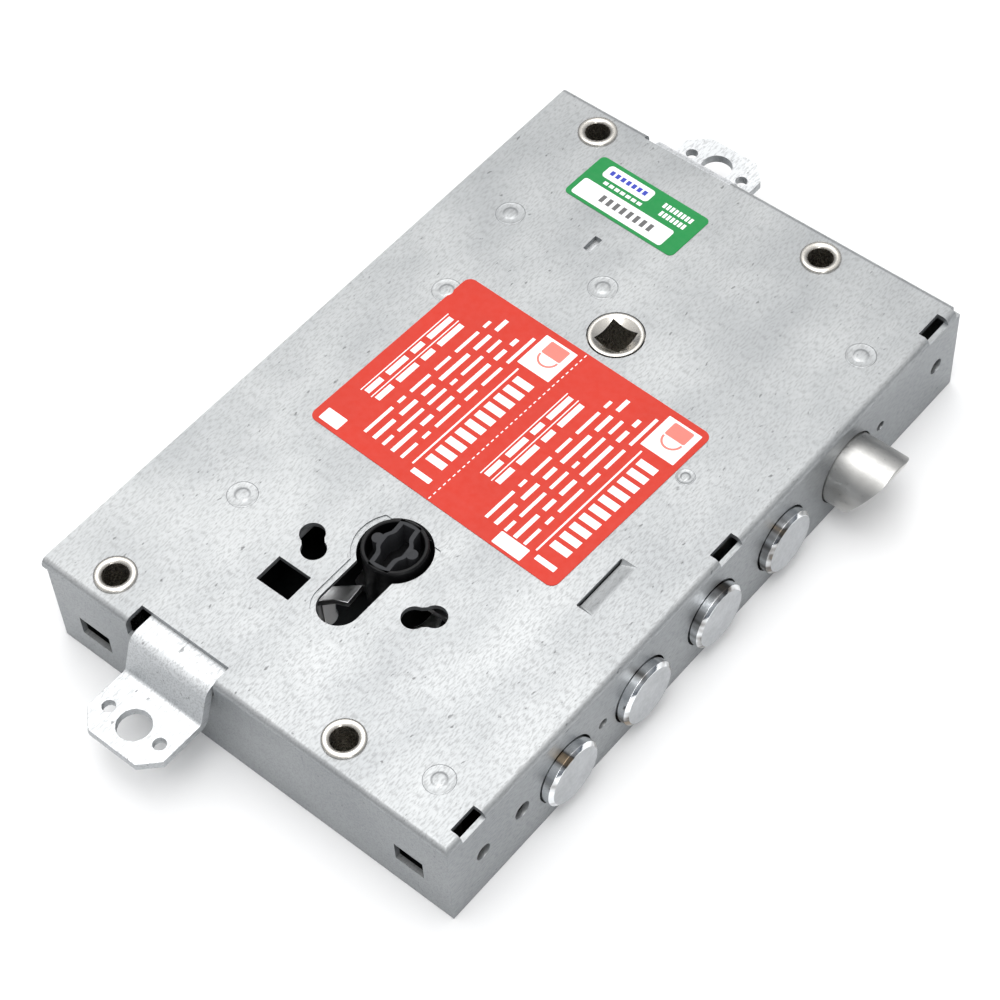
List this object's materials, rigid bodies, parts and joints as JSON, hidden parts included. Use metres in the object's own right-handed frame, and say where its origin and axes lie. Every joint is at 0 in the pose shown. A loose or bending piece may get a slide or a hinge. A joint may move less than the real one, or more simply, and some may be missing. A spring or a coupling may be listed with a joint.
{
  "type": "mortise lock",
  "caption": "Rectangular pressed steel lock case with round deadbolts, a bevelled sprung latch, a square spindle hub, a euro cylinder opening and rod connectors at both ends.",
  "frame": {"origin": "centre of the back plate's outer face", "axes": "+X out of the front plate, the way the bolts throw; +Y up the door, towards the latch end; +Z out of the cover"},
  "size_m": [0.1433, 0.2418, 0.0318],
  "materials": {
    "galvanised": "galvanised sheet, fine rolled grain",
    "chrome": "polished, matt end face",
    "nickel": "satin nickel",
    "steel": "plain zinc plated steel",
    "black_plastic": "semi-gloss black",
    "red_label": "printed sticker",
    "green_label": "printed sticker"
  },
  "bodies": {
    "case": {"case_cover": "galvanised", "case_base": "galvanised", "bush_rear_lower": "nickel", "bush_front_lower": "nickel", "bush_rear_upper": "nickel", "bush_front_upper": "nickel", "pillar_rear_upper": "steel", "pillar_front_upper": "steel", "pillar_rear_middle": "steel", "pillar_rear_lower": "steel", "pillar_front_lower": "steel", "bolt_guide": "steel", "carriage_post_rear": "steel", "carriage_post_front": "steel", "pinion_post": "steel", "rod_guide_upper": "steel", "rod_guide_lower": "steel", "red_label": "red_label", "green_label": "green_label", "latch_guide": "steel", "latch_spring": "steel", "detent_post": "steel", "blocker_post": "steel"},
    "carriage": {"deadbolt_1": "chrome", "deadbolt_2": "chrome", "deadbolt_3": "chrome", "deadbolt_4": "chrome", "bolt_rivet_1": "steel", "bolt_rivet_2": "steel", "bolt_rivet_3": "steel", "bolt_rivet_4": "steel", "carriage_plate": "steel", "cam_rack": "steel"},
    "pinion": {"transfer_pinion": "steel"},
    "upper_rod_body": {"upper_rod": "galvanised"},
    "lower_rod_body": {"lower_rod": "galvanised"},
    "latch": {"latch_bolt": "nickel", "latch_tail": "steel"},
    "hub": {"spindle_hub": "nickel"},
    "detent": {"detent_lever": "steel", "detent_spring": "steel"},
    "blocker": {"blocker_lever": "steel", "blocker_spring": "steel"},
    "blank": {"cylinder_blank": "black_plastic"}
  },
  "joints": [
    {"name": "bolt_throw", "type": "slide", "parent": "case", "child": "carriage", "axis": [1, 0, 0], "range_m": [0, 0.028]},
    {"name": "pinion_turn", "type": "hinge", "parent": "case", "child": "pinion", "pos_m": [-0.0206, 0.015, 0.024], "axis": [0, 0, 1], "range_deg": [0, 154]},
    {"name": "upper_rod_slide", "type": "slide", "parent": "case", "child": "upper_rod_body", "axis": [0, 1, 0], "range_m": [0, 0.0201]},
    {"name": "lower_rod_slide", "type": "slide", "parent": "case", "child": "lower_rod_body", "axis": [0, -1, 0], "range_m": [0, 0.0201]},
    {"name": "hub_turn", "type": "hinge", "parent": "case", "child": "hub", "pos_m": [0.001, 0.0397, 0.015], "axis": [0, 0, 1], "range_deg": [0, 52.5]},
    {"name": "latch_slide", "type": "slide", "parent": "case", "child": "latch", "axis": [-1, 0, 0], "range_m": [0, 0.0145], "stiffness_N_per_m": 200, "deforming": ["latch_spring"]},
    {"name": "detent_lift", "type": "hinge", "parent": "case", "child": "detent", "pos_m": [0.038, 0.038, 0.023], "axis": [0, 0, -1], "range_deg": [0, 8], "stiffness_Nm_per_rad": 0.05},
    {"name": "blank_pull", "type": "slide", "parent": "case", "child": "blank", "axis": [0, 0, 1], "range_m": [0, 0.014]},
    {"name": "blocker_swing", "type": "hinge", "parent": "case", "child": "blocker", "pos_m": [-0.012, -0.028, 0.005], "axis": [0, 0, 1], "range_deg": [0, 20.1]}
  ],
  "couplings": [
    {"joint": "pinion_turn", "follows": "bolt_throw", "rad_per_m": 95.238},
    {"joint": "upper_rod_slide", "follows": "bolt_throw", "ratio": 0.71429},
    {"joint": "lower_rod_slide", "follows": "bolt_throw", "ratio": 0.71429},
    {"joint": "hub_turn", "follows": "latch_slide", "rad_per_m": 62.5},
    {"joint": "blocker_swing", "follows": "blank_pull", "rad_per_m": 25}
  ]
}
